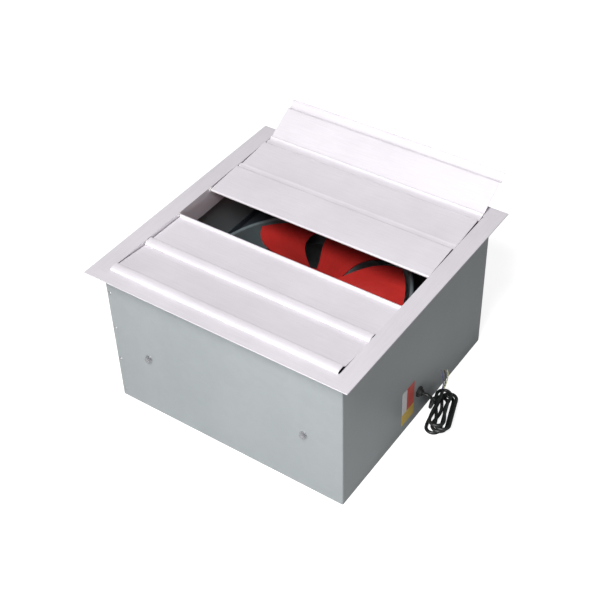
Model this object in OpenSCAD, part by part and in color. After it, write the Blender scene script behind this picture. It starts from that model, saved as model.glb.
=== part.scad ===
// Square wall axial fan with a gravity shutter on its outlet.
// Millimetres, +Z up along the air flow, origin at the centre of the inlet face.

/* [Casing] */
// width of the square casing
casing_w = 456; // [400:1:520]
// height from the inlet face to the top of the outlet flange
total_h = 284; // [240:1:340]
// thickness of the casing sheet
casing_t = 1.2; // [0.8:0.1:2]
// width of the inlet flange, bent inwards
inlet_flange_w = 20; // [15:1:30]
// spacing of the four mounting holes along the blades
mount_spacing_x = 336; // [300:1:360]
// spacing of the four mounting holes across the blades
mount_spacing_y = 430; // [380:1:440]
// diameter of the mounting holes
mount_hole_d = 6.5; // [5:0.5:9]

/* [Shutter frame] */
// width of the square outlet flange
flange_w = 500; // [440:1:600]
// thickness of the outlet flange
flange_t = 1.8; // [1:0.1:4]
// thickness of the sleeve wall
sleeve_t = 1.5; // [1:0.1:3]
// height of the sleeve below the flange top
sleeve_h = 44; // [30:1:60]
// clear width between the sleeve walls, along the blades
opening_x = 437.4; // [380:0.1:440]
// clear width between the sleeve walls, across the blades
opening_y = 443; // [380:0.1:446]

/* [Shutter blades] */
// distance between two blade hinges
blade_pitch = 86.3; // [70:0.1:100]
// place of the last hinge across the blades
last_hinge_y = 215; // [200:0.1:218]
// depth of the hinges below the flange top
hinge_depth = 5.6; // [4:0.1:12]
// length of a blade
blade_len = 434; // [370:1:436]
// thickness of the blade sheet
blade_t = 0.9; // [0.6:0.1:1.5]
// diameter of the hinge bead
bead_d = 5.2; // [4:0.1:8]
// diameter of the hinge pins
pin_d = 3; // [2:0.1:4]
// radial clearance of a pin in its bush
pin_gap = 0.05; // [0.02:0.01:0.1]
// flat width of a blade from its hinge to its lip
panel_w = 75.2; // [60:0.1:90]
// half width of the lip
lip_half_w = 9.3; // [6:0.1:12]
// width of the lip's steep far side
lip_far_w = 4; // [2:0.1:9]
// height of the lip over the flat
lip_h = 5.1; // [3:0.1:8]
// angle round the lip where the third blade's lip is cut back
cut_back_angle = 130; // [110:1:132]
// opening angle of the first blade as it stands
rest_1 = 5.3; // [0:0.1:70]
// opening angle of the second blade as it stands
rest_2 = 1.4; // [0:0.1:70]
// opening angle of the third blade as it stands
rest_3 = 176; // [0:0.1:180]
// opening angle of the fourth blade as it stands
rest_4 = 175.2; // [0:0.1:180]
// opening angle of the fifth blade as it stands
rest_5 = 149.4; // [0:0.1:180]

/* [Impeller and ring] */
// inner diameter of the inlet ring
ring_d = 362; // [300:1:400]
// thickness of the ring's wall
ring_t = 1.5; // [1:0.1:3]
// height of the ring's rim above the inlet face
ring_top = 197.6; // [150:0.1:220]
// diameter of the impeller over its blade tips
impeller_d = 347; // [280:1:380]
// number of impeller blades
impeller_blades = 7; // [3:1:9]
// diameter of the impeller hub
hub_d = 92; // [70:1:120]
// height of the top of the hub
hub_top = 193; // [150:1:210]
// thickness of an impeller blade
vane_t = 2.2; // [1.5:0.1:4]

/* [Motor] */
// diameter of the motor housing
motor_d = 120; // [100:1:150]
// height of the housing
motor_h = 62; // [50:1:90]
// diameter of the shaft
shaft_d = 14; // [10:1:20]
// radial clearance of the shaft in its bearings
shaft_gap = 0.05; // [0.02:0.01:0.1]
// pitch circle of the motor bolts
motor_pcd = 100; // [80:1:110]

/* [Motor support] */
// distance of each channel bracket from the middle
bracket_x = 155.5; // [140:0.5:180]
// height of the bolts that hold the brackets
bracket_bolt_z = 122.5; // [100:0.5:125]
// height of the top face of the brackets
bracket_top = 135; // [125:1:150]
// height of a bracket
bracket_h = 25; // [20:1:40]
// width of a bracket
bracket_w = 22; // [16:1:30]
// thickness of the brackets
bracket_t = 2; // [1.5:0.1:4]
// thickness of the motor plate
motor_plate_t = 3; // [2:0.1:6]

/* [Cable] */
// diameter of the cord
cord_d = 6; // [5:0.1:9]
// place of the cable gland across the blades
gland_y = 7; // [-60:1:60]
// height of the cable gland
gland_z = 57; // [40:1:90]

/* [Hidden] */
$fn = 96;
aluminium_grey = [0.85, 0.84, 0.87];
blade_white = [0.93, 0.92, 0.95];
casing_grey = [0.66, 0.69, 0.70];
zinc = [0.75, 0.76, 0.78];
steel = [0.62, 0.63, 0.65];
dark = [0.16, 0.16, 0.17];
half_c = casing_w / 2;
half_in = half_c - casing_t;
half_f = flange_w / 2;
open_x = opening_x / 2;
open_y = opening_y / 2;
under_flange = total_h - flange_t;
hinge_z = total_h - hinge_depth;
full_lip_angle = 184;
rest_angles = [rest_1, rest_2, rest_3, rest_4, rest_5];
hinge_ys = [for (k = [0:4]) last_hinge_y - blade_pitch * (4 - k)];
pin_in = 30;
pin_out = 4.6;
plate_z = bracket_top;
plate_t = 1.2;
ring_foot = plate_z + plate_t;
shaft_r = shaft_d / 2;
bearing_r = 17.5;
cover_top = plate_z;
cover_h = 12;
housing_top = cover_top - cover_h;
housing_bottom = housing_top - motor_h;

// points of an arc about c, from angle a to angle b
function arc(c, r, a, b, n = 8) = [for (i = [0:n]) let (t = a + (b - a) * i / n) c + r * [cos(t), sin(t)]];
function normal2(a, b) = let (d = b - a) [-d[1], d[0]] / norm(d);
// the mitred offset direction at point i of a line of points
function mitre2(p, i) =
    let (n1 = i == 0 ? normal2(p[0], p[1]) : normal2(p[i - 1], p[i]),
         n2 = i == len(p) - 1 ? n1 : normal2(p[i], p[i + 1]),
         m = (n1 + n2) / norm(n1 + n2))
    m / (m * n1);
// a strip of even thickness along a line of points
function strip(p, t) = concat([for (i = [0:len(p) - 1]) p[i] + t / 2 * mitre2(p, i)],
                              [for (i = [len(p) - 1:-1:0]) p[i] - t / 2 * mitre2(p, i)]);
// turns a shape about the hinge of blade k, to its opening angle
module at_hinge(k) {
    translate([0, hinge_ys[k], hinge_z]) rotate([-rest_angles[k], 0, 0]) children();
}
// a plane figure of (distance towards the free edge, height) drawn out along the hinge line
module along_hinge(length) {
    rotate([90, 0, -90]) linear_extrude(length, center = true) children();
}
// a trapezoid of one side of a square ring with mitred corners
module mitred_side(outer_x, outer_y, inner_x, inner_y) {
    polygon([[-outer_x, -outer_y], [outer_x, -outer_y], [inner_x, -inner_y], [-inner_x, -inner_y]]);
}
// a screw with a washer under its head, standing on z 0 with its shank down
module screw(d, length, head_d, head_h, washer_d = 0, washer_t = 0) {
    cylinder(h = head_h, d = head_d, $fn = 6);
    if (washer_t > 0) translate([0, 0, -washer_t]) cylinder(h = washer_t, d = washer_d);
    translate([0, 0, -length - washer_t]) cylinder(h = length + washer_t, d = d);
}
module rivet(d, grip) {
    cylinder(h = grip, d = d);
    translate([0, 0, grip]) cylinder(h = 0.9, d1 = d * 2, d2 = d * 1.3);
    translate([0, 0, -1.2]) cylinder(h = 1.2, d = d * 1.5);
}

// one side of the shutter frame along X, with mitred ends: flange and sleeve
module frame_side(out_a, out_b, in_a, in_b) {
    translate([0, 0, under_flange]) linear_extrude(flange_t) mitred_side(out_a, out_b, in_a, in_b);
    translate([0, 0, total_h - sleeve_h]) linear_extrude(sleeve_h - flange_t)
        mitred_side(in_a + sleeve_t, in_b + sleeve_t, in_a, in_b);
}
module frame_front() {
    color(aluminium_grey) frame_side(half_f, half_f, open_x, open_y);
}
module frame_back() {
    color(aluminium_grey) rotate([0, 0, 180]) frame_side(half_f, half_f, open_x, open_y);
}
module bush_holes() {
    for (y = hinge_ys) translate([0, y, hinge_z]) rotate([0, 90, 0])
        cylinder(h = flange_w, d = 5.6, center = true);
}
module frame_right() {
    color(aluminium_grey) difference() {
        rotate([0, 0, 90]) frame_side(half_f, half_f, open_y, open_x);
        bush_holes();
    }
}
module frame_left() {
    color(aluminium_grey) difference() {
        rotate([0, 0, -90]) frame_side(half_f, half_f, open_y, open_x);
        bush_holes();
    }
}
// L-shaped cleats that join the sleeve walls inside each mitre
module frame_corner_cleats() {
    arm = 26;
    cleat_t = 1.5;
    low = total_h - sleeve_h + 6;
    tall = 22;
    color(zinc) for (sx = [-1, 1]) for (sy = [-1, 1]) scale([sx, sy, 1]) {
        translate([open_x - cleat_t, open_y - arm, low]) cube([cleat_t, arm, tall]);
        translate([open_x - arm, open_y - cleat_t, low]) cube([arm - cleat_t, cleat_t, tall]);
    }
}
// collared nylon bushes in the sleeve walls
module pivot_bushes() {
    color([0.9, 0.9, 0.88]) for (side = [-1, 1]) for (y = hinge_ys)
        translate([side * open_x, y, hinge_z]) rotate([0, side * 90, 0]) difference() {
            union() {
                translate([0, 0, -1.2]) cylinder(h = 1.2, d = 8.4);
                cylinder(h = 3.4, d = 5.6);
            }
            translate([0, 0, -3]) cylinder(h = 10, d = pin_d + 2 * pin_gap);
        }
}

// the middle line of a blade's sheet: flat panel, then the lip with a long near and a steep far side
function blade_line(last) =
    let (low = -(bead_d / 2) + blade_t / 2 + 0.15)
    concat([[0.2, low], [panel_w - 2, low]],
           [for (i = [0:16])
                let (t = 14 + (last - 14) * i / 16,
                     across = t < 90 ? lip_far_w : 2 * lip_half_w - lip_far_w)
                [panel_w + lip_far_w - across * cos(t), low + lip_h * sin(t)]]);
module blade(k) {
    last = k == 2 ? cut_back_angle : full_lip_angle;
    color(blade_white) at_hinge(k) difference() {
        union() {
            along_hinge(blade_len) polygon(strip(blade_line(last), blade_t));
            rotate([0, 90, 0]) cylinder(h = blade_len, d = bead_d, center = true, $fn = 48);
        }
        rotate([0, 90, 0]) cylinder(h = blade_len + 2, d = pin_d, center = true, $fn = 48);
    }
}
module blade_pins(k) {
    color(steel) at_hinge(k) for (side = [-1, 1]) rotate([0, side * 90, 0])
        translate([0, 0, blade_len / 2 - pin_in]) cylinder(h = pin_in + pin_out, d = pin_d, $fn = 48);
}
module blade_1() { blade(0); }
module blade_2() { blade(1); }
module blade_3() { blade(2); }
module blade_4() { blade(3); }
module blade_5() { blade(4); }
module blade_1_pins() { blade_pins(0); }
module blade_2_pins() { blade_pins(1); }
module blade_3_pins() { blade_pins(2); }
module blade_4_pins() { blade_pins(3); }
module blade_5_pins() { blade_pins(4); }

// plan of one L-shaped casing sheet: front side, rounded bend and right side
module casing_plan() {
    bend = 2.4;
    inner_bend = bend - casing_t;
    polygon(concat(
        [[-half_c, -half_c]],
        arc([half_c - bend, bend - half_c], bend, -90, 0),
        [[half_c, half_in], [half_in, half_in]],
        arc([half_c - bend, bend - half_c], inner_bend, 0, -90),
        [[-half_c, -half_in]]));
}
module casing_sheet(with_gland) {
    top_return = 3.5;
    tab = 15;
    tab_low = 2;
    tab_high = 270;
    difference() {
        union() {
            linear_extrude(under_flange) casing_plan();
            // the tab behind the other sheet stops short of both bent edges
            translate([half_in - tab, half_in - casing_t, tab_low])
                cube([tab, casing_t, tab_high - tab_low]);
            for (turn = [0, 90]) rotate([0, 0, turn]) {
                inlet = half_in - inlet_flange_w;
                outlet = half_in - top_return;
                linear_extrude(casing_t) mitred_side(half_in, half_in, inlet, inlet);
                translate([0, 0, under_flange - casing_t]) linear_extrude(casing_t)
                    mitred_side(half_in, half_in, outlet, outlet);
            }
        }
        for (x = [-1, 1]) translate([x * bracket_x, -half_c - 1, bracket_bolt_z])
            rotate([-90, 0, 0]) cylinder(h = 4, d = 6.6);
        for (z = corner_rivet_zs) {
            translate([rivet_x, -half_c - 1, z]) rotate([-90, 0, 0]) cylinder(h = 4, d = 3.2);
            translate([-rivet_x, half_in - 2, z]) rotate([-90, 0, 0]) cylinder(h = 4, d = 3.2);
        }
        for (x = [-1, 1]) translate([x * mount_spacing_x / 2, -mount_spacing_y / 2, -1])
            cylinder(h = 3, d = mount_hole_d);
        for (y = clip_ys) translate([clip_x, y + clip_shift, -1]) cylinder(h = 3, d = 4.2);
        if (with_gland) translate([half_in - 1, gland_y, gland_z]) rotate([0, 90, 0])
            cylinder(h = 4, d = 16.4);
    }
}
rivet_x = -222.5;
corner_rivet_zs = [15, 88, 159, 236];
clip_x = 213;
clip_shift = 9.5;
clip_ys = [-105, 105];
module casing_front_right() {
    color(casing_grey) casing_sheet(true);
}
module casing_back_left() {
    color(casing_grey) rotate([0, 0, 180]) casing_sheet(false);
}
module casing_rivets() {
    color(steel) for (turn = [0, 180]) rotate([0, 0, turn]) for (z = corner_rivet_zs)
        translate([rivet_x, -half_in + casing_t, z]) rotate([90, 0, 0]) rivet(3.2, 2 * casing_t);
}

// square plate that carries the inlet ring, bent up along its edges
orifice_lip = 14;
module orifice_plate() {
    lip = orifice_lip;
    corner = 16;
    cut = 3;
    notched = [[half_in - cut, -half_in], [half_in, cut - half_in], [half_in, half_in - corner],
               [half_in - corner, half_in - corner],
               [half_in - corner, half_in], [cut - half_in, half_in], [-half_in, half_in - cut],
               [-half_in, corner - half_in],
               [corner - half_in, corner - half_in], [corner - half_in, -half_in]];
    color(zinc) difference() {
        union() {
            translate([0, 0, plate_z]) linear_extrude(plate_t) polygon(notched);
            for (turn = [0:90:270]) rotate([0, 0, turn])
                translate([-half_in + corner, -half_in, plate_z])
                    cube([2 * (half_in - corner), plate_t, lip]);
        }
        translate([0, 0, plate_z - 1]) cylinder(h = 4, r = ring_d / 2 + 2, $fn = 180);
        for (a = ring_rivet_angles) rotate([0, 0, a]) translate([ring_rivet_r, 0, plate_z - 1])
            cylinder(h = 4, d = 3.2);
        for (sx = [-1, 1]) for (sy = [-1, 1])
            translate([sx * bracket_x, sy * plate_screw_y, plate_z - 1]) cylinder(h = 4, d = 4.2);
    }
}
ring_rivet_angles = [for (i = [0:7]) 22.5 + 45 * i];
ring_rivet_r = ring_d / 2 + 7.2;
plate_screw_y = 205;
module fan_ring() {
    wall_r = ring_d / 2 + ring_t / 2;
    curl = 2.5;
    foot = 12;
    curl_z = ring_top - ring_t / 2 - curl;
    line = concat([[wall_r + foot, ring_foot + ring_t / 2], [wall_r, ring_foot + ring_t / 2]],
                  arc([wall_r + curl, curl_z], curl, 180, 0, 10));
    color(zinc) difference() {
        rotate_extrude($fn = 180) polygon(strip(line, ring_t));
        for (a = ring_rivet_angles) rotate([0, 0, a]) translate([ring_rivet_r, 0, ring_foot - 1])
            cylinder(h = 4, d = 3.2);
    }
}
module ring_rivets() {
    color(steel) for (a = ring_rivet_angles) rotate([0, 0, a])
        translate([ring_rivet_r, 0, plate_z]) rivet(3.2, plate_t + ring_t);
}
module plate_screws() {
    color(steel) for (sx = [-1, 1]) for (sy = [-1, 1])
        translate([sx * bracket_x, sy * plate_screw_y, ring_foot])
            screw(4, plate_t + bracket_t + 4, 7.6, 3);
}

// channel bracket along Y between the front and back sides, open towards the middle
module bracket() {
    len = 2 * half_in;
    difference() {
        union() {
            for (z = [bracket_top - bracket_t, bracket_top - bracket_h])
                translate([-bracket_w / 2, -len / 2, z]) cube([bracket_w, len, bracket_t]);
            translate([bracket_w / 2 - bracket_t, -len / 2, bracket_top - bracket_h])
                cube([bracket_t, len, bracket_h]);
            for (y = [-len / 2, len / 2 - bracket_t])
                translate([-bracket_w / 2, y, bracket_top - bracket_h])
                    cube([bracket_w, bracket_t, bracket_h]);
        }
        translate([0, 0, bracket_bolt_z]) rotate([90, 0, 0]) cylinder(h = len + 10, d = 6.6, center = true);
        for (sy = [-1, 1]) translate([0, sy * plate_screw_y, bracket_top - 5]) cylinder(h = 10, d = 4);
        for (y = motor_plate_ys) translate([0, y, bracket_top - 5]) cylinder(h = 10, d = 5);
    }
}
motor_plate_ys = [-26, 26];
module bracket_right() {
    color(zinc) translate([bracket_x, 0, 0]) bracket();
}
module bracket_left() {
    color(zinc) translate([-bracket_x, 0, 0]) rotate([0, 0, 180]) bracket();
}
// hexagon bolts with washers outside and nuts inside
module bracket_bolts() {
    color(steel) for (turn = [0, 180]) rotate([0, 0, turn]) for (x = [-1, 1])
        translate([x * bracket_x, -half_c - 1.6, bracket_bolt_z]) rotate([90, 0, 0])
            screw(6, 14, 11, 4, 14, 1.6);
}
module bracket_nuts() {
    color(steel) for (turn = [0, 180]) rotate([0, 0, turn]) for (x = [-1, 1])
        translate([x * bracket_x, -half_in + bracket_t, bracket_bolt_z]) rotate([-90, 0, 0]) difference() {
            cylinder(h = 5, d = 11, $fn = 6);
            translate([0, 0, -1]) cylinder(h = 8, d = 6);
        }
}
// plate across both brackets, with the motor under it
module motor_plate() {
    plate_w = 116;
    plate_len = 2 * bracket_x + 18;
    color(zinc) difference() {
        translate([-plate_len / 2, -plate_w / 2, plate_z]) cube([plate_len, plate_w, motor_plate_t]);
        translate([0, 0, plate_z - 1]) cylinder(h = 8, d = 38);
        for (a = motor_bolt_angles) rotate([0, 0, a]) translate([motor_pcd / 2, 0, plate_z - 1])
            cylinder(h = 8, d = 6.6);
        for (sx = [-1, 1]) for (y = motor_plate_ys) translate([sx * bracket_x, y, plate_z - 1])
            cylinder(h = 8, d = 5.4);
    }
}
motor_bolt_angles = [45, 135, 225, 315];
module motor_plate_screws() {
    color(steel) for (sx = [-1, 1]) for (y = motor_plate_ys)
        translate([sx * bracket_x, y, plate_z + motor_plate_t])
            screw(5, motor_plate_t + bracket_t + 4, 8, 3.5);
}
module motor_bolts() {
    color(steel) for (a = motor_bolt_angles) rotate([0, 0, a])
        translate([motor_pcd / 2, 0, plate_z + motor_plate_t]) screw(6, motor_plate_t + 9, 10, 4);
}

module motor_front_cover() {
    color([0.55, 0.56, 0.58]) difference() {
        translate([0, 0, housing_top]) cylinder(h = cover_h, d = motor_d + 4);
        translate([0, 0, housing_top - 1]) cylinder(h = cover_h + 2, r = bearing_r);
        for (a = motor_bolt_angles) rotate([0, 0, a]) translate([motor_pcd / 2, 0, plate_z - 10])
            cylinder(h = 12, d = 6);
    }
}
module motor_rear_cover() {
    color([0.55, 0.56, 0.58]) difference() {
        translate([0, 0, housing_bottom - cover_h]) cylinder(h = cover_h, d = motor_d + 4);
        translate([0, 0, housing_bottom - cover_h + 3]) cylinder(h = cover_h, r = bearing_r);
    }
}
// finned tube of the motor
module motor_housing() {
    color([0.45, 0.46, 0.48]) difference() {
        union() {
            translate([0, 0, housing_bottom]) cylinder(h = motor_h, d = motor_d - 6);
            for (a = [0:15:345]) if (a != 0) rotate([0, 0, a])
                translate([motor_d / 2 - 5, -1, housing_bottom]) cube([5, 2, motor_h]);
            translate([motor_d / 2 - 8, -12, conduit_z - 12]) cube([8, 24, 24]);
        }
        translate([0, 0, housing_bottom - 1]) cylinder(h = motor_h + 2, d = motor_d - 14);
        translate([motor_d / 2 - 4, 0, conduit_z]) rotate([0, 90, 0]) cylinder(h = 10, d = conduit_d);
        translate([motor_d / 2 - 20, 0, conduit_z]) rotate([0, 90, 0]) cylinder(h = 20, d = conduit_d - 3);
    }
}
conduit_d = 10;
conduit_z = 85;
module motor_stator() {
    color([0.7, 0.45, 0.25]) translate([0, 0, housing_bottom + 12]) difference() {
        cylinder(h = motor_h - 24, d = motor_d - 14);
        translate([0, 0, -1]) cylinder(h = motor_h, d = 62);
    }
}
module motor_rotor() {
    color(steel) translate([0, 0, housing_bottom + 12]) difference() {
        cylinder(h = motor_h - 24, d = 61);
        translate([0, 0, -1]) cylinder(h = motor_h, d = shaft_d);
    }
}
module motor_bearings() {
    color(steel) for (z = [housing_bottom - cover_h + 3, housing_top]) translate([0, 0, z]) difference() {
        cylinder(h = 9, r = bearing_r);
        translate([0, 0, -1]) cylinder(h = 12, r = shaft_r + shaft_gap);
    }
}
module motor_shaft() {
    low = housing_bottom - cover_h + 3.6;
    color(steel) translate([0, 0, low]) cylinder(h = hub_top + 8 - low, d = shaft_d);
}

// red impeller: hub drum with swept blades, moulded in one piece
function edge_angle(a, b, c, r) = let (s = r / 175) a + b * s + c * s * s;
function vane_angle(r, f) =
    (1 - f) * edge_angle(68.4, 160.3, -119.1, r) + f * edge_angle(119, 108.1, -79, r);
function vane_z(r, f) =
    let (tip = (r - hub_d / 2) / (impeller_d / 2 - hub_d / 2),
         low = hub_top - 22 + 8 * tip, high = hub_top + 2.6 - 1.5 * tip)
    low + (high - low) * f + 2.5 * sin(180 * f);
function vane_point(r, f, side) =
    let (a = vane_angle(r, f)) [r * cos(a), r * sin(a), vane_z(r, f) + side * vane_t / 2];
module vane() {
    nr = 9;
    nf = 7;
    r0 = hub_d / 2 - 2;
    function at(i, j) = i * (nf + 1) + j;
    half = (nr + 1) * (nf + 1);
    top = [for (i = [0:nr]) for (j = [0:nf]) vane_point(r0 + (impeller_d / 2 - r0) * i / nr, j / nf, 1)];
    under = [for (i = [0:nr]) for (j = [0:nf]) vane_point(r0 + (impeller_d / 2 - r0) * i / nr, j / nf, -1)];
    sheet = [for (i = [0:nr - 1]) for (j = [0:nf - 1]) each [
        [at(i, j), at(i, j + 1), at(i + 1, j + 1)], [at(i, j), at(i + 1, j + 1), at(i + 1, j)],
        [half + at(i, j), half + at(i + 1, j + 1), half + at(i, j + 1)],
        [half + at(i, j), half + at(i + 1, j), half + at(i + 1, j + 1)]]];
    ends = [for (j = [0:nf - 1]) each [
        [at(0, j), half + at(0, j), half + at(0, j + 1)], [at(0, j), half + at(0, j + 1), at(0, j + 1)],
        [at(nr, j), half + at(nr, j + 1), half + at(nr, j)],
        [at(nr, j), at(nr, j + 1), half + at(nr, j + 1)]]];
    edges = [for (i = [0:nr - 1]) each [
        [at(i, 0), half + at(i + 1, 0), half + at(i, 0)], [at(i, 0), at(i + 1, 0), half + at(i + 1, 0)],
        [at(i, nf), half + at(i, nf), half + at(i + 1, nf)],
        [at(i, nf), half + at(i + 1, nf), at(i + 1, nf)]]];
    polyhedron(concat(top, under), concat(sheet, ends, edges));
}
module impeller() {
    wall = 3;
    drum_h = 26;
    color([0.62, 0.10, 0.09]) union() {
        difference() {
            translate([0, 0, hub_top - drum_h]) cylinder(h = drum_h, d = hub_d);
            translate([0, 0, hub_top - drum_h - 1]) cylinder(h = drum_h - wall + 1, d = hub_d - 2 * wall);
            translate([0, 0, hub_top - drum_h - 1]) cylinder(h = drum_h + 2, d = 28);
        }
        difference() {
            translate([0, 0, hub_top - drum_h]) cylinder(h = drum_h, d = 36);
            translate([0, 0, hub_top - drum_h - 1]) cylinder(h = drum_h + 2, d = 28);
        }
        for (k = [0:impeller_blades - 1]) rotate([0, 0, k * 360 / impeller_blades]) vane();
    }
}
module hub_insert() {
    color(zinc) difference() {
        translate([0, 0, hub_top - 26]) cylinder(h = 26, d = 28);
        translate([0, 0, hub_top - 30]) cylinder(h = 40, d = shaft_d);
    }
}
module hub_nut() {
    color(steel) difference() {
        union() {
            translate([0, 0, hub_top]) cylinder(h = 1.8, d = 30);
            translate([0, 0, hub_top + 1.8]) cylinder(h = 6, d = 24, $fn = 6);
        }
        translate([0, 0, hub_top - 1]) cylinder(h = 20, d = shaft_d);
    }
}

// terminal box on the right side, over the gland
box_low = 38;
box_size = [34, 64, 62];
box_wall = 2.5;
module terminal_box() {
    color(dark) translate([half_in - box_size[0], gland_y - box_size[1] / 2, box_low]) difference() {
        cube(box_size);
        translate([-1, box_wall, box_wall])
            cube([box_size[0] - box_wall + 1, box_size[1] - 2 * box_wall, box_size[2] - 2 * box_wall]);
        translate([0, box_size[1] / 2, gland_z - box_low]) rotate([0, 90, 0]) cylinder(h = 60, d = 25);
    }
}
module terminal_cover() {
    color(dark) translate([half_in - box_size[0] - 2, gland_y - box_size[1] / 2, box_low]) difference() {
        cube([2, box_size[1], box_size[2]]);
        translate([-1, box_size[1] / 2 - gland_y, conduit_z - box_low]) rotate([0, 90, 0])
            cylinder(h = 5, d = conduit_d);
    }
}
// terminal block on the floor of the box, beside the gland
block_deep = box_size[0] * 0.47;
block_wide = box_size[1] * 0.24;
block_gap = 0.3;
block_tall = 12;
module terminal_block() {
    block_y = gland_y + box_size[1] / 2 - box_wall - block_gap - block_wide;
    block_x = half_in - box_wall - block_deep;
    color([0.85, 0.83, 0.75]) translate([block_x, block_y, box_low + box_wall]) difference() {
        cube([block_deep, block_wide, block_tall]);
        for (share = [0.25, 0.75])
            translate([block_deep / 2, share * block_wide, block_tall / 2])
                cylinder(h = block_tall, d = block_wide * 0.28);
    }
}
// rigid conduit from the box cover to the motor
module motor_conduit() {
    from = motor_d / 2 - 4;
    to = half_in - box_size[0] + 2;
    color(zinc) translate([from, 0, conduit_z]) rotate([0, 90, 0]) difference() {
        cylinder(h = to - from, d = conduit_d);
        translate([0, 0, -1]) cylinder(h = to - from + 2, d = conduit_d - 3);
    }
}
// gland: collar outside the casing, stub through the sheet and a nut inside
module cable_gland() {
    color(dark) translate([half_c, gland_y, gland_z]) rotate([0, 90, 0]) union() {
        translate([0, 0, -casing_t - 8]) cylinder(h = casing_t + 8, d = 16);
        cylinder(h = 3.5, d = 20, $fn = 6);
        translate([0, 0, 3.5]) cylinder(h = 4.5, d1 = 15, d2 = 11);
    }
}
module gland_nut() {
    color(dark) translate([half_in - 4, gland_y, gland_z]) rotate([0, 90, 0]) difference() {
        cylinder(h = 4, d = 22, $fn = 6);
        translate([0, 0, -1]) cylinder(h = 6, d = 16);
    }
}

// welded mesh over the inlet: rods along X lie on the flange, rods along Y on top of them
module rear_guard() {
    rod_d = 3;
    reach = 211;
    color(steel) for (i = [-4.5:1:4.5]) {
        translate([-reach, i * mesh_pitch, casing_t + rod_d / 2]) rotate([0, 90, 0])
            cylinder(h = 2 * reach, d = rod_d, $fn = 24);
        translate([i * mesh_pitch, -reach, casing_t + rod_d * 1.45]) rotate([-90, 0, 0])
            cylinder(h = 2 * reach, d = rod_d, $fn = 24);
    }
}
mesh_pitch = 42;
// straps that hold the outer rods of the mesh down on the inlet flange
module guard_clips() {
    wide = 10;
    color(zinc) for (turn = [0, 180]) rotate([0, 0, turn]) for (y = clip_ys) {
        rod_y = mesh_pitch * 2.5 * sign(y);
        translate([clip_x - 9, rod_y - 3, casing_t + 3.2]) cube([wide, 6.4, 1.2]);
        translate([clip_x - 9, rod_y + 2.2, casing_t]) cube([wide, 1.2, 3.3]);
        difference() {
            translate([clip_x - 9, rod_y + 2.2, casing_t]) cube([wide + 4, 12, 1.2]);
            translate([clip_x, y + clip_shift, 0]) cylinder(h = 4, d = 4.2);
        }
    }
}
module guard_screws() {
    color(steel) for (turn = [0, 180]) rotate([0, 0, turn]) for (y = clip_ys)
        translate([clip_x, y + clip_shift, 0]) {
            translate([0, 0, casing_t + 1.2]) cylinder(h = 2.6, d = 7.6);
            cylinder(h = casing_t + 1.2, d = 4.2);
        }
}
// blank plate on the right side
plate_wide = 38;
plate_tall = 76;
plate_start_y = gland_y - 54;
plate_start_z = 19;
module rating_plate() {
    color([0.86, 0.85, 0.85]) translate([half_c, plate_start_y, plate_start_z])
        cube([0.5, plate_wide, plate_tall]);
}

// hank: the outer shape of the folded cord, lying on the floor beside the casing
hank_centre = [260.8, 22.5];
hank_angle = -72;
hank_run = 30;
// radius of the end where the cord comes in, and of the other ends
hank_entry_r = 16.6;
hank_end_r = 15.2;
// sideways places of the ends
hank_entry_shift = -4.4;
hank_near_shift = -3;
hank_far_shift = 12;
hank_h = 32.4;
module cord_hank() {
    color(dark) translate([hank_centre[0], hank_centre[1], 0]) rotate([0, 0, hank_angle])
        linear_extrude(hank_h) hull() {
            translate([-hank_run, hank_entry_shift]) circle(hank_entry_r);
            translate([hank_run, hank_near_shift]) circle(hank_end_r);
            for (side = [-1, 1]) translate([side * hank_run, hank_far_shift]) circle(hank_end_r);
        }
}

// cord: out of the gland, over a rounded corner and straight down to the hank
cord_bend = 12.8;
cord_exit = [half_c + 8, gland_y, gland_z];
cord_corner = cord_exit + [19.2, 0, 0];
cord_end = [cord_corner[0], cord_corner[1], hank_h];
function unit(v) = v / norm(v);
// points of the arc that rounds corner b between a and c
function round_corner(a, b, c, r, n) =
    let (u = unit(b - a), v = unit(c - b), turn = acos(u * v), side = (v - u * (u * v)) / sin(turn),
         first = b - u * r * tan(turn / 2))
    [for (i = [0:n]) first + r * (u * sin(turn * i / n) + side * (1 - cos(turn * i / n)))];
cord_route = concat([cord_exit], round_corner(cord_exit, cord_corner, cord_end, cord_bend, 10), [cord_end]);

function along(p, i) = i == 0 ? unit(p[1] - p[0]) : i == len(p) - 1 ? unit(p[i] - p[i - 1])
    : unit(unit(p[i + 1] - p[i]) + unit(p[i] - p[i - 1]));
// a closed tube of round section along a line of points
module tube(p, d, sides, up) {
    rings = [for (i = [0:len(p) - 1]) let (t = along(p, i), a = unit(cross(t, up)), b = cross(a, t))
        each [for (k = [0:sides - 1]) let (turn = 360 * k / sides) p[i] + d / 2 * (cos(turn) * a + sin(turn) * b)]];
    last = (len(p) - 1) * sides;
    skin = [for (i = [0:len(p) - 2]) for (k = [0:sides - 1]) let (n = (k + 1) % sides, q = i * sides) each [
        [q + k, q + n, q + sides + n], [q + k, q + sides + n, q + sides + k]]];
    polyhedron(rings, concat(skin, [[for (k = [sides - 1:-1:0]) k]], [[for (k = [0:sides - 1]) last + k]]));
}
module cord() {
    color(dark) tube(cord_route, cord_d, 8, [0, 1, 0]);
}
core_d = 2.2;
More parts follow.
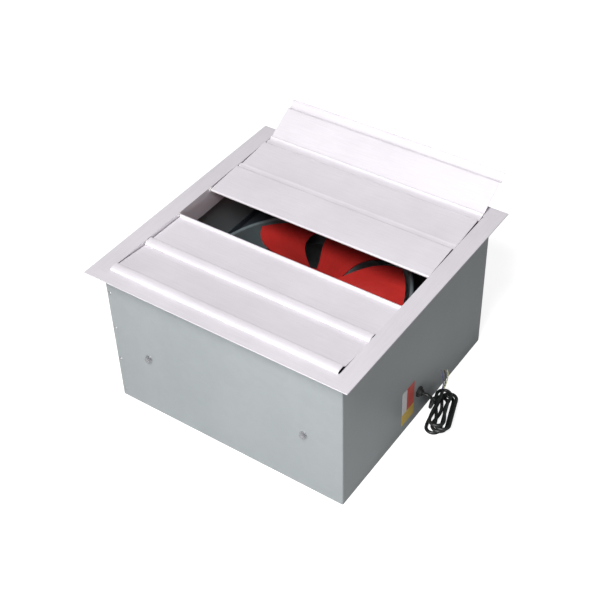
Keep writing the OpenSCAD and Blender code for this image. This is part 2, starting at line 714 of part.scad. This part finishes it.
// the stripped cores stand up on the hank
yellow_green_route = [[249.4, 61, hank_h], [249.4, 61, hank_h + 2.6], [249.7, 66.2, 41],
                      [249.3, 69.8, 47], [247.7, 74, 53.5], [244.1, 76.3, 58.5]];
blue_route = [[245.9, 60.5, hank_h], [245.9, 60.5, hank_h + 2.6], [244.9, 64, 41],
              [242.1, 65.9, 47.5], [235.5, 71.4, 57.5]];
brown_route = [[247.6, 63.4, hank_h], [247.6, 63.4, hank_h + 2.6], [246.6, 67, 38.4],
               [244.2, 72, 46], [238.3, 76.8, 54.5]];
module core_yellow_green() {
    color([0.62, 0.66, 0.30]) tube(yellow_green_route, core_d, 8, [0, 1, 0]);
}
module core_blue() {
    color([0.42, 0.42, 0.62]) tube(blue_route, core_d, 8, [0, 1, 0]);
}
module core_brown() {
    color([0.35, 0.25, 0.2]) tube(brown_route, core_d, 8, [0, 1, 0]);
}

frame_front();
frame_back();
frame_left();
frame_right();
frame_corner_cleats();
pivot_bushes();
blade_1();
blade_2();
blade_3();
blade_4();
blade_5();
blade_1_pins();
blade_2_pins();
blade_3_pins();
blade_4_pins();
blade_5_pins();
casing_front_right();
casing_back_left();
casing_rivets();
orifice_plate();
fan_ring();
ring_rivets();
plate_screws();
bracket_right();
bracket_left();
bracket_bolts();
bracket_nuts();
motor_plate();
motor_plate_screws();
motor_bolts();
motor_front_cover();
motor_rear_cover();
motor_housing();
motor_stator();
motor_bearings();
motor_rotor();
motor_shaft();
impeller();
hub_insert();
hub_nut();
terminal_box();
terminal_cover();
terminal_block();
motor_conduit();
cable_gland();
gland_nut();
rear_guard();
guard_clips();
guard_screws();
rating_plate();
cord();
cord_hank();
core_yellow_green();
core_blue();
core_brown();
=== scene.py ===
import math

import bpy
from mathutils import Matrix, Vector


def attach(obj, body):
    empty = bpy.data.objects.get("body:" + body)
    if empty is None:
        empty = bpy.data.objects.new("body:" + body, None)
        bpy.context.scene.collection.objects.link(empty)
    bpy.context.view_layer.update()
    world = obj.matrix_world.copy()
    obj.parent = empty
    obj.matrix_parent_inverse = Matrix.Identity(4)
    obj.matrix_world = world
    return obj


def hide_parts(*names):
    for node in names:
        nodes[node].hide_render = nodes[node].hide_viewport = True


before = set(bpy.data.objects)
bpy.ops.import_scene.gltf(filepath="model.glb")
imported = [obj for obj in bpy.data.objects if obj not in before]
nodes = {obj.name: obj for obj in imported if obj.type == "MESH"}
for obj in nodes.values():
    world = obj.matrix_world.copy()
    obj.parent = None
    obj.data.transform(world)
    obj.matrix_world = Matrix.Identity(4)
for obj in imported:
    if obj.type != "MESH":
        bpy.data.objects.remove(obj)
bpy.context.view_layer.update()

# Camera, at the photograph's viewing angle

CAMERA_AZIMUTH = 35.573
CAMERA_ELEVATION = 41.417
CAMERA_ROLL = -1.888
CAMERA_DISTANCE = 2.05606
CAMERA_TARGET = Vector((0.00011, -0.00814, 0.164))
SENSOR_WIDTH = 36.0
LENS = 72.67
CLIP_START = 0.05
CLIP_END = 50


def link_new(name, data):
    """A new object with that data, in the scene."""
    thing = bpy.data.objects.new(name, data)
    bpy.context.scene.collection.objects.link(thing)
    return thing


def make_camera():
    azimuth = math.radians(CAMERA_AZIMUTH)
    elevation = math.radians(CAMERA_ELEVATION)
    roll = math.radians(CAMERA_ROLL)
    back = Vector((
        math.sin(azimuth) * math.cos(elevation),
        -math.cos(azimuth) * math.cos(elevation),
        math.sin(elevation),
    ))
    level = Vector((0, 0, 1)).cross(back).normalized()
    upright = back.cross(level)
    right = math.cos(roll) * level + math.sin(roll) * upright
    up = math.cos(roll) * upright - math.sin(roll) * level
    data = bpy.data.cameras.new("photo_camera")
    data.sensor_width = SENSOR_WIDTH
    data.lens = LENS
    data.clip_start = CLIP_START
    data.clip_end = CLIP_END
    camera = link_new("photo_camera", data)
    turned = Matrix((right, up, back)).transposed()
    camera.matrix_world = Matrix.Translation(CAMERA_TARGET + back * CAMERA_DISTANCE) @ turned.to_4x4()
    bpy.context.scene.camera = camera


make_camera()

# Materials

GRAIN_DARK = 0.965
GRAIN_LIGHT = 1.02
CRYSTAL_DARK = 0.975
CRYSTAL_LIGHT = 1.02
CRYSTAL_SCALE = 95.0
FADE_DARK = 0.88
FADE_LIGHT = 1.08
COAT_ROUGHNESS = 0.25
METAL_STAIN = 0.94
METAL_STAIN_SCALE = 9.0
METAL_WAVE_SCALE = 5.0
METAL_WAVE_BUMP = (0.12, 0.004)
METAL_STAIN_REACH = (0.3, 0.6)
METAL_ROUGH_SPREAD = (-0.05, 0.07)
ZINC_STAIN_SCALE = 7.0
ZINC_STAIN_TINT = (0.93, 0.94, 0.94)
ZINC_WAVE_SCALE = 4.0
ZINC_WAVE_BUMP = (0.15, 0.005)
ZINC_STAIN_STRETCH = (1, 1, 0.5)
ZINC_STAIN_REACH = (0.3, 0.62)
ZINC_ROUGH_SPREAD = (-0.05, 0.06)
CRYSTAL_REACH = (0.1, 0.9)
FADE_SCALE = 14.0
PEEL_DEPTH = 0.0004
MOULDED_ROUGH_SPREAD = (-0.06, 0.08)
PLATE_FADE_SCALE = 60.0
PLATE_BUMP = (0.1, 0.0003)
PLATE_ROUGH = (0.35, 0.5)
PLATE_PALE = ((0.70, 0.69, 0.70), (0.80, 0.79, 0.80))
PLATE_RED = ((0.56, 0.07, 0.06), (0.66, 0.12, 0.09))
PLATE_YELLOW = ((0.66, 0.44, 0.05), (0.76, 0.54, 0.10))
PLATE_SPLIT_Y = -0.033
PLATE_SPLIT_Z = 0.045
EVEN = (1, 1, 1)
ALONG_X = (0.03, 1, 1)
ALONG_Y = (1, 0.03, 1)
ALONG_Z = (1, 1, 0.03)
WHITE = (1, 1, 1)
FRAME_COLOUR = (0.805, 0.768, 0.815)


def new_material(name):
    material = bpy.data.materials.new(name)
    material.use_nodes = True
    tree = material.node_tree
    shader = tree.nodes["Principled BSDF"]
    return material, tree, shader


def add_noise(tree, stretch, scale, detail=4.0, roughness=0.55):
    """Noise along the object's own axes, stretched where a scale is small."""
    place = tree.nodes.new("ShaderNodeTexCoord")
    mapping = tree.nodes.new("ShaderNodeMapping")
    mapping.inputs["Scale"].default_value = stretch
    noise = tree.nodes.new("ShaderNodeTexNoise")
    noise.inputs["Scale"].default_value = scale
    noise.inputs["Detail"].default_value = detail
    noise.inputs["Roughness"].default_value = roughness
    tree.links.new(place.outputs["Object"], mapping.inputs["Vector"])
    tree.links.new(mapping.outputs["Vector"], noise.inputs["Vector"])
    return noise.outputs["Fac"]


def add_ramp(tree, value, low, high, start=0.35, end=0.65):
    ramp = tree.nodes.new("ShaderNodeValToRGB")
    ramp.color_ramp.elements[0].position = start
    ramp.color_ramp.elements[0].color = (*low, 1)
    ramp.color_ramp.elements[1].position = end
    ramp.color_ramp.elements[1].color = (*high, 1)
    tree.links.new(value, ramp.inputs["Fac"])
    return ramp.outputs["Color"]


def add_mix(tree, factor, first, second, blend="MIX"):
    mix = tree.nodes.new("ShaderNodeMix")
    mix.data_type = "RGBA"
    mix.blend_type = blend
    if isinstance(factor, float):
        mix.inputs["Factor"].default_value = factor
    else:
        tree.links.new(factor, mix.inputs["Factor"])
    tree.links.new(first, mix.inputs["A"])
    tree.links.new(second, mix.inputs["B"])
    return mix.outputs["Result"]


def add_bump(tree, shader, height, strength, distance):
    bump = tree.nodes.new("ShaderNodeBump")
    bump.inputs["Strength"].default_value = strength
    bump.inputs["Distance"].default_value = distance
    tree.links.new(height, bump.inputs["Height"])
    tree.links.new(bump.outputs["Normal"], shader.inputs["Normal"])


def add_roughness(tree, shader, value, low, high):
    spread = tree.nodes.new("ShaderNodeMapRange")
    spread.inputs["To Min"].default_value = low
    spread.inputs["To Max"].default_value = high
    tree.links.new(value, spread.inputs["Value"])
    tree.links.new(spread.outputs["Result"], shader.inputs["Roughness"])


def shade(colour, factor):
    return tuple(min(1.0, c * factor) for c in colour)


def metal_sheet(name, colour, metallic, rough, stretch, grain_scale):
    """Rolled or drawn metal: fine grain along one direction, soft stains and a slight wave."""
    material, tree, shader = new_material(name)
    grain = add_noise(tree, stretch, grain_scale, detail=6.0)
    stains = add_noise(tree, EVEN, METAL_STAIN_SCALE, detail=5.0)
    wave = add_noise(tree, EVEN, METAL_WAVE_SCALE, detail=1.0)
    fine = add_ramp(tree, grain, shade(colour, GRAIN_DARK), shade(colour, GRAIN_LIGHT))
    soft = add_ramp(tree, stains, shade(WHITE, METAL_STAIN), WHITE, *METAL_STAIN_REACH)
    tree.links.new(add_mix(tree, 1.0, fine, soft, "MULTIPLY"), shader.inputs["Base Color"])
    shader.inputs["Metallic"].default_value = metallic
    add_roughness(tree, shader, grain, rough + METAL_ROUGH_SPREAD[0], rough + METAL_ROUGH_SPREAD[1])
    add_bump(tree, shader, wave, *METAL_WAVE_BUMP)
    return material


def galvanised(name, colour, metallic, rough):
    """Zinc-coated sheet with faint crystals and handling marks."""
    material, tree, shader = new_material(name)
    place = tree.nodes.new("ShaderNodeTexCoord")
    crystals = tree.nodes.new("ShaderNodeTexVoronoi")
    crystals.inputs["Scale"].default_value = CRYSTAL_SCALE
    tree.links.new(place.outputs["Object"], crystals.inputs["Vector"])
    grey = tree.nodes.new("ShaderNodeSeparateColor")
    tree.links.new(crystals.outputs["Color"], grey.inputs["Color"])
    stains = add_noise(tree, ZINC_STAIN_STRETCH, ZINC_STAIN_SCALE, detail=6.0)
    dark = shade(colour, CRYSTAL_DARK)
    light = shade(colour, CRYSTAL_LIGHT)
    red = grey.outputs["Red"]
    spangle = add_ramp(tree, red, dark, light, *CRYSTAL_REACH)
    soft = add_ramp(tree, stains, ZINC_STAIN_TINT, WHITE, *ZINC_STAIN_REACH)
    tree.links.new(add_mix(tree, 1.0, spangle, soft, "MULTIPLY"), shader.inputs["Base Color"])
    shader.inputs["Metallic"].default_value = metallic
    add_roughness(tree, shader, red, rough + ZINC_ROUGH_SPREAD[0], rough + ZINC_ROUGH_SPREAD[1])
    wave = add_noise(tree, EVEN, ZINC_WAVE_SCALE, detail=1.0)
    add_bump(tree, shader, wave, *ZINC_WAVE_BUMP)
    return material


def moulded(name, colour, rough, grain=420.0, strength=0.15, sheen=0.0):
    """Plastic, rubber or paint with a fine orange-peel surface and slight fading."""
    material, tree, shader = new_material(name)
    fade = add_noise(tree, EVEN, FADE_SCALE, detail=4.0)
    peel = add_noise(tree, EVEN, grain, detail=2.0)
    faded = add_ramp(tree, fade, shade(colour, FADE_DARK), shade(colour, FADE_LIGHT))
    tree.links.new(faded, shader.inputs["Base Color"])
    add_roughness(tree, shader, fade, rough + MOULDED_ROUGH_SPREAD[0], rough + MOULDED_ROUGH_SPREAD[1])
    add_bump(tree, shader, peel, strength, PEEL_DEPTH)
    if sheen:
        shader.inputs["Coat Weight"].default_value = sheen
        shader.inputs["Coat Roughness"].default_value = COAT_ROUGHNESS
    return material


def plate_fields(name):
    """Blank plate with a pale, a red and a yellow field."""
    material, tree, shader = new_material(name)
    place = tree.nodes.new("ShaderNodeTexCoord")
    axes = tree.nodes.new("ShaderNodeSeparateXYZ")
    tree.links.new(place.outputs["Object"], axes.inputs["Vector"])

    def above(output, limit):
        test = tree.nodes.new("ShaderNodeMath")
        test.operation = "GREATER_THAN"
        test.inputs[1].default_value = limit
        tree.links.new(output, test.inputs[0])
        return test.outputs["Value"]

    fade = add_noise(tree, EVEN, PLATE_FADE_SCALE)
    pale = add_ramp(tree, fade, *PLATE_PALE)
    red = add_ramp(tree, fade, *PLATE_RED)
    yellow = add_ramp(tree, fade, *PLATE_YELLOW)
    upper = add_mix(tree, above(axes.outputs["Y"], PLATE_SPLIT_Y), pale, red)
    whole = add_mix(tree, above(axes.outputs["Z"], PLATE_SPLIT_Z), yellow, upper)
    tree.links.new(whole, shader.inputs["Base Color"])
    add_roughness(tree, shader, fade, *PLATE_ROUGH)
    add_bump(tree, shader, fade, *PLATE_BUMP)
    return material


# Metal sheet: colour, metallic share, roughness, direction and scale of the grain.
# Galvanised sheet: colour, metallic share, roughness.
# Moulded pieces: colour, roughness, scale and strength of the peel, coat.
materials = {
    "frame_x": metal_sheet("aluminium_frame_x", FRAME_COLOUR, 0.2, 0.42, ALONG_X, 900.0),
    "frame_y": metal_sheet("aluminium_frame_y", FRAME_COLOUR, 0.2, 0.42, ALONG_Y, 900.0),
    "blade": metal_sheet("aluminium_blade", (0.855, 0.815, 0.865), 0.2, 0.4, ALONG_X, 800.0),
    "casing": galvanised("galvanised_casing", (0.344, 0.370, 0.379), 0.15, 0.46),
    # Near-black blue-grey colour is painted shade of the casing's dark interior, not the zinc's own
    # tone.
    "painted_shade_inner": galvanised("galvanised_inner_painted_shade", (0.075, 0.088, 0.105), 0.2, 0.5),
    # Dark blue-grey colour is painted shade inside the casing, a little lighter than the orifice plate
    # where more light reaches the ring.
    "painted_shade_ring": galvanised("galvanised_ring_painted_shade", (0.19, 0.235, 0.25), 0.3, 0.42),
    "zinc": metal_sheet("zinc_plate", (0.5, 0.51, 0.53), 0.6, 0.4, ALONG_Y, 600.0),
    "bolt_zinc": metal_sheet("bolt_zinc", (0.50, 0.50, 0.52), 0.85, 0.26, ALONG_Y, 700.0),
    "steel": metal_sheet("bright_steel", (0.5, 0.5, 0.52), 0.8, 0.34, ALONG_Z, 700.0),
    "casting": moulded("motor_casting", (0.30, 0.31, 0.32), 0.5, 260.0, 0.4),
    "winding": moulded("copper_winding", (0.42, 0.17, 0.06), 0.4, 500.0, 0.6, 0.3),
    "red": moulded("red_paint", (0.46, 0.024, 0.020), 0.36, 300.0, 0.12, 0.3),
    "nylon": moulded("white_nylon", (0.72, 0.71, 0.68), 0.5),
    # Near-black colour is painted shade, for the dark depth of the casing seen between the impeller's
    # vanes.
    "black_paint": moulded("black_paint", (0.016, 0.017, 0.018), 0.42, 350.0, 0.12, 0.2),
    "black": moulded("black_plastic", (0.011, 0.012, 0.013), 0.45),
    "rubber": moulded("black_rubber", (0.009, 0.0105, 0.0105), 0.38, 700.0, 0.2),
    "core_yellow_green": moulded("core_yellow_green", (0.40, 0.41, 0.25), 0.4),
    "core_blue": moulded("core_blue", (0.10, 0.10, 0.20), 0.4),
    "core_brown": moulded("core_brown", (0.06, 0.045, 0.035), 0.4),
    "plate": plate_fields("plate_fields"),
}

NODE_MATERIALS = {
    "frame_x": ["frame_front", "frame_back"],
    "frame_y": ["frame_left", "frame_right"],
    "blade": ["blade_1", "blade_2", "blade_3", "blade_4", "blade_5"],
    "casing": ["casing_front_right", "casing_back_left"],
    # The orifice plate's near-black colour is painted shade inside the casing.
    "painted_shade_inner": ["orifice_plate"],
    # The fan ring's dark colour is painted shade inside the casing.
    "painted_shade_ring": ["fan_ring"],
    "zinc": ["frame_corner_cleats", "hub_insert", "motor_conduit", "guard_clips"],
    # The brackets and motor plate get a near-black colour that is painted shade deep inside the
    # casing.
    "black_paint": ["bracket_right", "bracket_left", "motor_plate"],
    "steel": ["casing_rivets", "ring_rivets", "plate_screws", "bracket_nuts", "motor_plate_screws",
              "motor_bolts", "motor_bearings", "motor_rotor", "motor_shaft", "hub_nut", "rear_guard",
              "guard_screws", "blade_1_pins", "blade_2_pins", "blade_3_pins", "blade_4_pins",
              "blade_5_pins"],
    "bolt_zinc": ["bracket_bolts"],
    "casting": ["motor_front_cover", "motor_rear_cover", "motor_housing"],
    "winding": ["motor_stator"],
    "red": ["impeller"],
    "nylon": ["pivot_bushes", "terminal_block"],
    "black": ["terminal_box", "terminal_cover", "cable_gland", "gland_nut"],
    "plate": ["rating_plate"],
}


def dress(thing, material):
    thing.data.materials.clear()
    thing.data.materials.append(material)


for key, names in NODE_MATERIALS.items():
    for name in names:
        dress(nodes[name], materials[key])

# Cord: out of the gland and down into a stack of long loops, in millimetres

MM = 0.001
CORD_D = 6.0
CORD_BEND = 12.8
CORD_EXIT = (236, 7, 57)
CORD_CORNER_X = 259.8
CORD_LANDING = -13
# A loop is two runs with a round cap at each end: HANK_RUN is half a run, HANK_HALF half the width.
# The shifts lay each loop, and last the cord's end, to one side. The bows bend a loop's runs inwards.
HANK_CENTRE = (260.8, 22.5)
HANK_ANGLE = math.radians(-72)
HANK_RUN = 30
HANK_HALF = 12.2
HANK_GAP = 0.6
HANK_RISE = CORD_D + HANK_GAP
HANK_SHIFTS = (-3, 7, 12, 2, 11)
HANK_OUT_BOWS = (0, 0, 0, 4)
HANK_BACK_BOWS = (0, 6, 0, 0)
HANK_ENTRY = -18
HANK_TURNS = 4
# Steps of a loop, of one cap, of one run and of the whole hank, and how finely each step is split
LOOP_N = 24
CAP_N = 8
RUN_N = LOOP_N / 2 - CAP_N
HANK_N = HANK_TURNS * LOOP_N
FINE = 4
TUBE_STEPS = 5


def ease(x):
    """Rises smoothly from 0 to 1."""
    return (1 - math.cos(math.pi * min(1, max(0, x)))) / 2


def bow(x):
    """Rises smoothly from 0 to 1 and falls back to 0."""
    return (1 - math.cos(2 * math.pi * x)) / 2


def loop_point(j, out_bow, back_bow):
    """Place round a loop: cap at the far end, run, cap at the near end, run back."""
    half = LOOP_N / 2
    if j < CAP_N:
        angle = math.pi * j / CAP_N
        return -HANK_RUN - HANK_HALF * math.sin(angle), -HANK_HALF * math.cos(angle)
    if j < half:
        x = (j - CAP_N) / RUN_N
        return -HANK_RUN + 2 * HANK_RUN * x, HANK_HALF - out_bow * bow(x)
    if j < half + CAP_N:
        angle = math.pi * (j - half) / CAP_N
        return HANK_RUN + HANK_HALF * math.sin(angle), HANK_HALF * math.cos(angle)
    x = (j - half - CAP_N) / RUN_N
    return HANK_RUN - 2 * HANK_RUN * x, back_bow * bow(x) - HANK_HALF


def first_cap(j):
    """The first cap is wider, from the incoming line to the first loop."""
    half = (HANK_HALF + HANK_SHIFTS[0] - HANK_ENTRY) / 2
    angle = math.pi * j / CAP_N
    return -HANK_RUN - half * math.sin(angle), HANK_ENTRY + half - half * math.cos(angle)


def hank_place(p, z):
    c = math.cos(HANK_ANGLE)
    s = math.sin(HANK_ANGLE)
    return (HANK_CENTRE[0] + c * p[0] - s * p[1], HANK_CENTRE[1] + s * p[0] + c * p[1], z)


def hank_point(i):
    turn = min(HANK_TURNS - 1, int(i // LOOP_N))
    j = i - turn * LOOP_N
    up = ease((j - LOOP_N + RUN_N) / RUN_N)
    z = CORD_D / 2 + HANK_RISE * (turn + up)
    if i < CAP_N:
        return hank_place(first_cap(j), z)
    along, across = loop_point(j, HANK_OUT_BOWS[turn], HANK_BACK_BOWS[turn])
    shift = HANK_SHIFTS[turn] * (1 - up) + HANK_SHIFTS[turn + 1] * up
    return hank_place((along, across + shift), z)


HANK_LAST = (-HANK_RUN - CORD_D, HANK_SHIFTS[HANK_TURNS] - HANK_HALF)
HANK_TOP = CORD_D / 2 + HANK_RISE * HANK_TURNS


def round_corner(a, b, c, steps=12):
    """Points of the arc that rounds corner b between a and c."""
    u = (b - a).normalized()
    v = (c - b).normalized()
    turn = u.angle(v)
    side = (v - u * u.dot(v)) / math.sin(turn)
    first = b - u * CORD_BEND * math.tan(turn / 2)
    angles = [turn * k / steps for k in range(steps + 1)]
    return [first + CORD_BEND * (u * math.sin(t) + side * (1 - math.cos(t))) for t in angles]


def cord_points():
    """The whole cord: gland, two rounded corners, the loops and the bare end."""
    corners = [
        Vector(CORD_EXIT),
        Vector((CORD_CORNER_X, CORD_EXIT[1], CORD_EXIT[2])),
        Vector(hank_place((CORD_LANDING, HANK_ENTRY), CORD_D / 2)),
        Vector(hank_place((-HANK_RUN + CORD_D / 2, HANK_ENTRY), CORD_D / 2)),
    ]
    points = [corners[0]] + round_corner(*corners[:3]) + round_corner(*corners[1:])
    points += [Vector(hank_point(step / FINE)) for step in range(HANK_N * FINE + 1)]
    points.append(Vector(hank_place(HANK_LAST, HANK_TOP)))
    return points


def rounded(points, per_span=6):
    """Points of a smooth line through the given ones."""
    line = []
    last = len(points) - 1
    for i in range(last):
        a = Vector(points[max(i - 1, 0)])
        b = Vector(points[i])
        c = Vector(points[i + 1])
        d = Vector(points[min(i + 2, last)])
        for k in range(per_span):
            t = k / per_span
            line.append(0.5 * (2 * b + (c - a) * t + (2 * a - 5 * b + 4 * c - d) * t ** 2
                               + (3 * b - a - 3 * c + d) * t ** 3))
    line.append(Vector(points[-1]))
    return line


def round_curve(name, points, diameter, material):
    """A round piece along points in millimetres."""
    data = bpy.data.curves.new(name, "CURVE")
    data.dimensions = "3D"
    data.bevel_depth = diameter * MM / 2
    data.bevel_resolution = TUBE_STEPS
    data.use_fill_caps = True
    spline = data.splines.new("POLY")
    spline.points.add(len(points) - 1)
    for point, place in zip(spline.points, points):
        point.co = (place[0] * MM, place[1] * MM, place[2] * MM, 1)
    spline.use_smooth = True
    data.materials.append(material)
    thing = link_new(name, data)
    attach(thing, "casing")
    return thing


def core_start(angle, ahead):
    """Place on the sheath's end face, or so far ahead of it."""
    a = math.radians(angle)
    place = (HANK_LAST[0] - ahead, HANK_LAST[1] + CORE_RING * math.cos(a))
    return hank_place(place, HANK_TOP + CORE_RING * math.sin(a))


CORE_D = 2.2
CORE_RING = 1.5
CORE_AHEAD = 3.5
# Where each core sits round the sheath's end, in degrees, and the points that it rises through
CORES = {
    "core_yellow_green": (30, [(249.4, 62.6, 34.2), (249.7, 66.2, 41), (249.3, 69.8, 47),
                               (247.7, 74, 53.5), (244.1, 76.3, 58.5)]),
    "core_blue": (150, [(245.9, 62, 35), (244.9, 64, 41), (242.1, 65.9, 47.5), (235.5, 71.4, 57.5)]),
    "core_brown": (270, [(247.5, 63.6, 31.5), (246.6, 67, 38), (244.2, 72, 46), (238.3, 76.8, 54.5)]),
}


def make_cord():
    points = cord_points()
    cord = round_curve("mains_cord", points, CORD_D, materials["rubber"])
    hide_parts("cord", "cord_hank")
    for name, (angle, rest) in CORES.items():
        line = rounded([core_start(angle, 0), core_start(angle, CORE_AHEAD)] + rest)
        core = round_curve(name + "_insulation", line, CORE_D, materials[name])
        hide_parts(name)


make_cord()

# Studio

ROOM_GREY = 0.19
ROOM_BLUE_SHARE = 1.01
FLOOR_GREY = (0.5, 0.5, 0.5, 1)
FLOOR_ROUGHNESS = 0.9
FLOOR_GLOW = 0.84
FLOOR_REACH = 6.0
FLOOR_DROP = 0.0005
CASING_REACH = 0.227
KEY_TOWARDS = (0.03, -0.58, 0.815)
KEY_STRENGTH = 1.3
KEY_SPREAD = 14
SOFT_BOX_PLACE = (0.35, -1.7, 2.65)
SOFT_BOX_AIM = (0, 0, 0.2)
SOFT_BOX_SIZE = 1.0
SOFT_BOX_POWER = 55
FILL_PLACE = (0.24, -1.25, 0.45)
FILL_AIM = (0, -0.23, 0.15)
FILL_SIZE = 0.5
FILL_POWER = 6.5


def sun(name, towards, strength, spread):
    data = bpy.data.lights.new(name, "SUN")
    data.energy = strength
    data.angle = math.radians(spread)
    lamp = link_new(name, data)
    lamp.rotation_euler = Vector(towards).to_track_quat("Z", "Y").to_euler()


def panel_lamp(name, place, aim, size, power):
    """A square soft box that faces a point."""
    data = bpy.data.lights.new(name, "AREA")
    data.shape = "SQUARE"
    data.size = size
    data.energy = power
    lamp = link_new(name, data)
    lamp.location = place
    lamp.rotation_euler = (Vector(place) - Vector(aim)).to_track_quat("Z", "Y").to_euler()


def make_world(grey):
    """Even grey light, and white where the camera looks past the object."""
    world = bpy.data.worlds.new("studio")
    world.use_nodes = True
    tree = world.node_tree
    background = tree.nodes["Background"]
    background.inputs["Color"].default_value = (grey, grey, grey * ROOM_BLUE_SHARE, 1)
    white = tree.nodes.new("ShaderNodeBackground")
    white.inputs["Color"].default_value = (1, 1, 1, 1)
    path = tree.nodes.new("ShaderNodeLightPath")
    seen = tree.nodes.new("ShaderNodeMath")
    seen.operation = "MAXIMUM"
    tree.links.new(path.outputs["Is Camera Ray"], seen.inputs[0])
    tree.links.new(path.outputs["Is Transmission Ray"], seen.inputs[1])
    mixed = tree.nodes.new("ShaderNodeMixShader")
    tree.links.new(seen.outputs["Value"], mixed.inputs["Fac"])
    tree.links.new(background.outputs["Background"], mixed.inputs[1])
    tree.links.new(white.outputs["Background"], mixed.inputs[2])
    tree.links.new(mixed.outputs["Shader"], tree.nodes["World Output"].inputs["Surface"])
    bpy.context.scene.world = world


def floor_material(name):
    material, tree, shader = new_material(name)
    shader.inputs["Base Color"].default_value = FLOOR_GREY
    shader.inputs["Roughness"].default_value = FLOOR_ROUGHNESS
    shader.inputs["Specular IOR Level"].default_value = 0.0
    return material, tree, shader


def make_floor():
    """Pale floor that shows white to the camera and keeps a soft shadow.

    The part of it that the casing stands over doesn't glow.
    """
    mesh = bpy.data.meshes.new("floor")
    corners = [(-1, -1), (1, -1), (1, 1), (-1, 1)]
    outside = [(x * FLOOR_REACH, y * FLOOR_REACH, 0) for x, y in corners]
    inside = [(x * CASING_REACH, y * CASING_REACH, 0) for x, y in corners]
    ring = [(k, (k + 1) % 4, 4 + (k + 1) % 4, 4 + k) for k in range(4)]
    mesh.from_pydata(outside + inside, [], ring + [(4, 5, 6, 7)])
    floor = link_new("floor", mesh)
    floor.location.z = -FLOOR_DROP
    material, tree, shader = floor_material("pale_floor")
    glow = tree.nodes.new("ShaderNodeEmission")
    glow.inputs["Strength"].default_value = FLOOR_GLOW
    path = tree.nodes.new("ShaderNodeLightPath")
    none = tree.nodes.new("ShaderNodeEmission")
    none.inputs["Strength"].default_value = 0.0
    chosen = tree.nodes.new("ShaderNodeMixShader")
    total = tree.nodes.new("ShaderNodeAddShader")
    tree.links.new(path.outputs["Is Camera Ray"], chosen.inputs["Fac"])
    tree.links.new(none.outputs["Emission"], chosen.inputs[1])
    tree.links.new(glow.outputs["Emission"], chosen.inputs[2])
    tree.links.new(shader.outputs["BSDF"], total.inputs[0])
    tree.links.new(chosen.outputs["Shader"], total.inputs[1])
    tree.links.new(total.outputs["Shader"], tree.nodes["Material Output"].inputs["Surface"])
    mesh.materials.append(material)
    mesh.materials.append(floor_material("pale_floor_inside")[0])
    mesh.polygons[len(ring)].material_index = 1


make_world(ROOM_GREY)
make_floor()
sun("key", KEY_TOWARDS, KEY_STRENGTH, KEY_SPREAD)
panel_lamp("soft_box", SOFT_BOX_PLACE, SOFT_BOX_AIM, SOFT_BOX_SIZE, SOFT_BOX_POWER)
panel_lamp("front_fill", FILL_PLACE, FILL_AIM, FILL_SIZE, FILL_POWER)

bpy.context.scene.view_settings.view_transform = "Standard"
